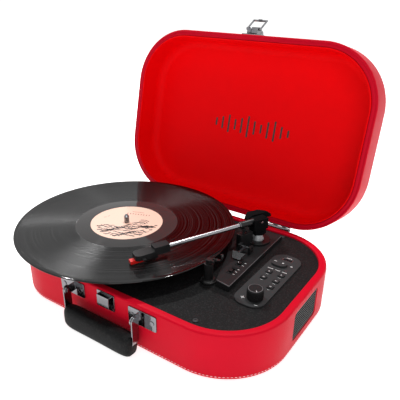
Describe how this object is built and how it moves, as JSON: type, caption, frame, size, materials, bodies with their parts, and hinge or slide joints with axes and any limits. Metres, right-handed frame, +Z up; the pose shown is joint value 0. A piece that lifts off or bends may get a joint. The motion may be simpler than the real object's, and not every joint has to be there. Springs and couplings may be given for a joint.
{
  "type": "suitcase record player",
  "caption": "Portable record player in a rounded red suitcase: hinged lid open, record on a belt-driven platter, tonearm on a turret, control panel, carrying handle, draw latch.",
  "frame": {"origin": "on the surface that the feet stand on, under the middle of the case", "axes": "+X along the front to the right, towards the control panel; +Y to the back, towards the lid's hinges; +Z up"},
  "size_m": [0.4168, 0.3971, 0.3354],
  "materials": {
    "red_cover": "pebbled leatherette",
    "red_lining": "smooth leatherette",
    "bottom_board": "painted hardboard",
    "rubber": "matte",
    "deck_black": "fine dimpled grain",
    "black_plastic": "satin",
    "panel_grey": "semi-gloss",
    "grip_black": "padded leatherette",
    "chrome": "polished",
    "steel": "satin",
    "tube_silver": "polished",
    "platter_black": "satin",
    "felt": "felt",
    "vinyl": "grooved, glossy",
    "label_paper": "printed",
    "board_green": "solder mask",
    "pulley_brass": "turned",
    "speaker_paper": "paper cone and steel",
    "smoky": "translucent",
    "stylus_red": "moulded",
    "lamp_clear": "frosted"
  },
  "bodies": {
    "case": {"base_shell": "red_cover", "base_bottom": "bottom_board", "feet": "rubber", "deck": "deck_black", "deck_screws": "black_plastic", "speaker_grille_right": "black_plastic", "speaker_grille_left": "black_plastic", "speaker_right": "speaker_paper", "speaker_left": "speaker_paper", "rear_panel": "black_plastic", "line_out_jacks": "chrome", "power_inlet": "black_plastic", "audio_sockets": "black_plastic", "main_board": "board_green", "motor": "steel", "drive_belt": "rubber", "platter_bearing": "steel", "control_panel": "panel_grey", "control_board": "board_green", "usb_socket": "steel", "status_lights": "lamp_clear", "volume_control": "steel", "arm_board": "black_plastic", "arm_base": "black_plastic", "arm_rest": "black_plastic", "handle_brackets": "chrome", "catch_plate": "chrome", "hinge_base_leaves": "chrome"},
    "platter_set": {"platter": "platter_black", "slip_mat": "felt", "spindle": "chrome", "record": "vinyl", "record_label": "label_paper"},
    "pulley": {"motor_pulley": "pulley_brass"},
    "knob": {"volume_knob": "black_plastic"},
    "play": {"play_button": "panel_grey"},
    "previous": {"previous_button": "panel_grey"},
    "next": {"next_button": "panel_grey"},
    "record_key": {"record_button": "panel_grey"},
    "repeat": {"repeat_button": "panel_grey"},
    "mode": {"mode_button": "panel_grey"},
    "speed_slider": {"speed_switch": "black_plastic"},
    "stop_slider": {"auto_stop_switch": "black_plastic"},
    "cue": {"cue_lever": "smoky"},
    "lift": {"lift_bar": "black_plastic"},
    "turret": {"turret_yoke": "black_plastic", "turret_cap": "black_plastic"},
    "arm": {"arm_tube": "tube_silver", "headshell": "black_plastic", "cartridge": "black_plastic", "stylus": "stylus_red"},
    "clip": {"arm_rest_clip": "black_plastic"},
    "handle": {"handle_bail": "chrome", "handle_grip": "grip_black"},
    "lid": {"lid_shell": "red_cover", "lid_lining": "red_lining", "hinge_lid_leaves": "chrome", "latch_plate": "chrome"},
    "lever": {"latch_lever": "chrome"},
    "loop": {"latch_loop": "chrome"}
  },
  "joints": [
    {"name": "lid_hinge", "type": "hinge", "parent": "case", "child": "lid", "pos_m": [0, 0.1325, 0.0617], "axis": [1, 0, 0], "range_deg": [0, 28]},
    {"name": "platter_spin", "type": "hinge", "parent": "case", "child": "platter_set", "pos_m": [-0.072, -0.0093, 0.07], "axis": [0, 0, 1], "continuous": true},
    {"name": "pulley_spin", "type": "hinge", "parent": "case", "child": "pulley", "pos_m": [-0.13695, 0.0282, 0.067], "axis": [0, 0, 1], "continuous": true},
    {"name": "arm_swing", "type": "hinge", "parent": "case", "child": "turret", "pos_m": [0.0908, 0.0722, 0.08], "axis": [0, 0, -1], "range_deg": [-24.13, 17]},
    {"name": "arm_raise", "type": "hinge", "parent": "turret", "child": "arm", "pos_m": [0.0908, 0.0722, 0.0982], "axis": [-0.8862, 0.4633, 0], "range_deg": [0, 2.6]},
    {"name": "cue_lift", "type": "hinge", "parent": "case", "child": "cue", "pos_m": [0.092, 0.036, 0.074], "axis": [-1, 0, 0], "range_deg": [0, 30]},
    {"name": "lift_slide", "type": "slide", "parent": "case", "child": "lift", "axis": [0, 0, 1], "range_m": [0, 0.0012]},
    {"name": "clip_swing", "type": "hinge", "parent": "case", "child": "clip", "pos_m": [0.09199, -0.04048, 0.09128], "axis": [-0.0605, -0.9982, 0], "range_deg": [0, 80]},
    {"name": "volume_turn", "type": "hinge", "parent": "case", "child": "knob", "pos_m": [0.147, -0.04, 0.07], "axis": [0, 0, 1], "range_deg": [-150, 150]},
    {"name": "play_press", "type": "slide", "parent": "case", "child": "play", "axis": [0, 0, -1], "range_m": [0, 0.0008], "stiffness_N_per_m": 100, "springref_m": -0.001},
    {"name": "previous_press", "type": "slide", "parent": "case", "child": "previous", "axis": [0, 0, -1], "range_m": [0, 0.0008], "stiffness_N_per_m": 100, "springref_m": -0.001},
    {"name": "next_press", "type": "slide", "parent": "case", "child": "next", "axis": [0, 0, -1], "range_m": [0, 0.0008], "stiffness_N_per_m": 100, "springref_m": -0.001},
    {"name": "record_press", "type": "slide", "parent": "case", "child": "record_key", "axis": [0, 0, -1], "range_m": [0, 0.0008], "stiffness_N_per_m": 100, "springref_m": -0.001},
    {"name": "repeat_press", "type": "slide", "parent": "case", "child": "repeat", "axis": [0, 0, -1], "range_m": [0, 0.0008], "stiffness_N_per_m": 100, "springref_m": -0.001},
    {"name": "mode_press", "type": "slide", "parent": "case", "child": "mode", "axis": [0, 0, -1], "range_m": [0, 0.0008], "stiffness_N_per_m": 100, "springref_m": -0.001},
    {"name": "speed_slide", "type": "slide", "parent": "case", "child": "speed_slider", "axis": [0, 1, 0], "range_m": [0, 0.0052]},
    {"name": "auto_stop_slide", "type": "slide", "parent": "case", "child": "stop_slider", "axis": [0, 1, 0], "range_m": [0, 0.0032]},
    {"name": "handle_swing", "type": "hinge", "parent": "case", "child": "handle", "pos_m": [0, -0.141, 0.0505], "axis": [-1, 0, 0], "range_deg": [0, 100]},
    {"name": "latch_lever_fold", "type": "hinge", "parent": "lid", "child": "lever", "pos_m": [0, 0.20539, 0.31749], "axis": [-1, 0, 0], "range_deg": [0, 75]},
    {"name": "latch_loop_swing", "type": "hinge", "parent": "lid", "child": "loop", "pos_m": [0, 0.19858, 0.32371], "axis": [1, 0, 0], "range_deg": [0, 140]}
  ],
  "couplings": [
    {"joint": "pulley_spin", "follows": "platter_spin", "ratio": 9},
    {"joint": "arm_raise", "follows": "cue_lift", "ratio": 0.0866},
    {"joint": "lift_slide", "follows": "cue_lift", "m_per_rad": 0.00229}
  ]
}
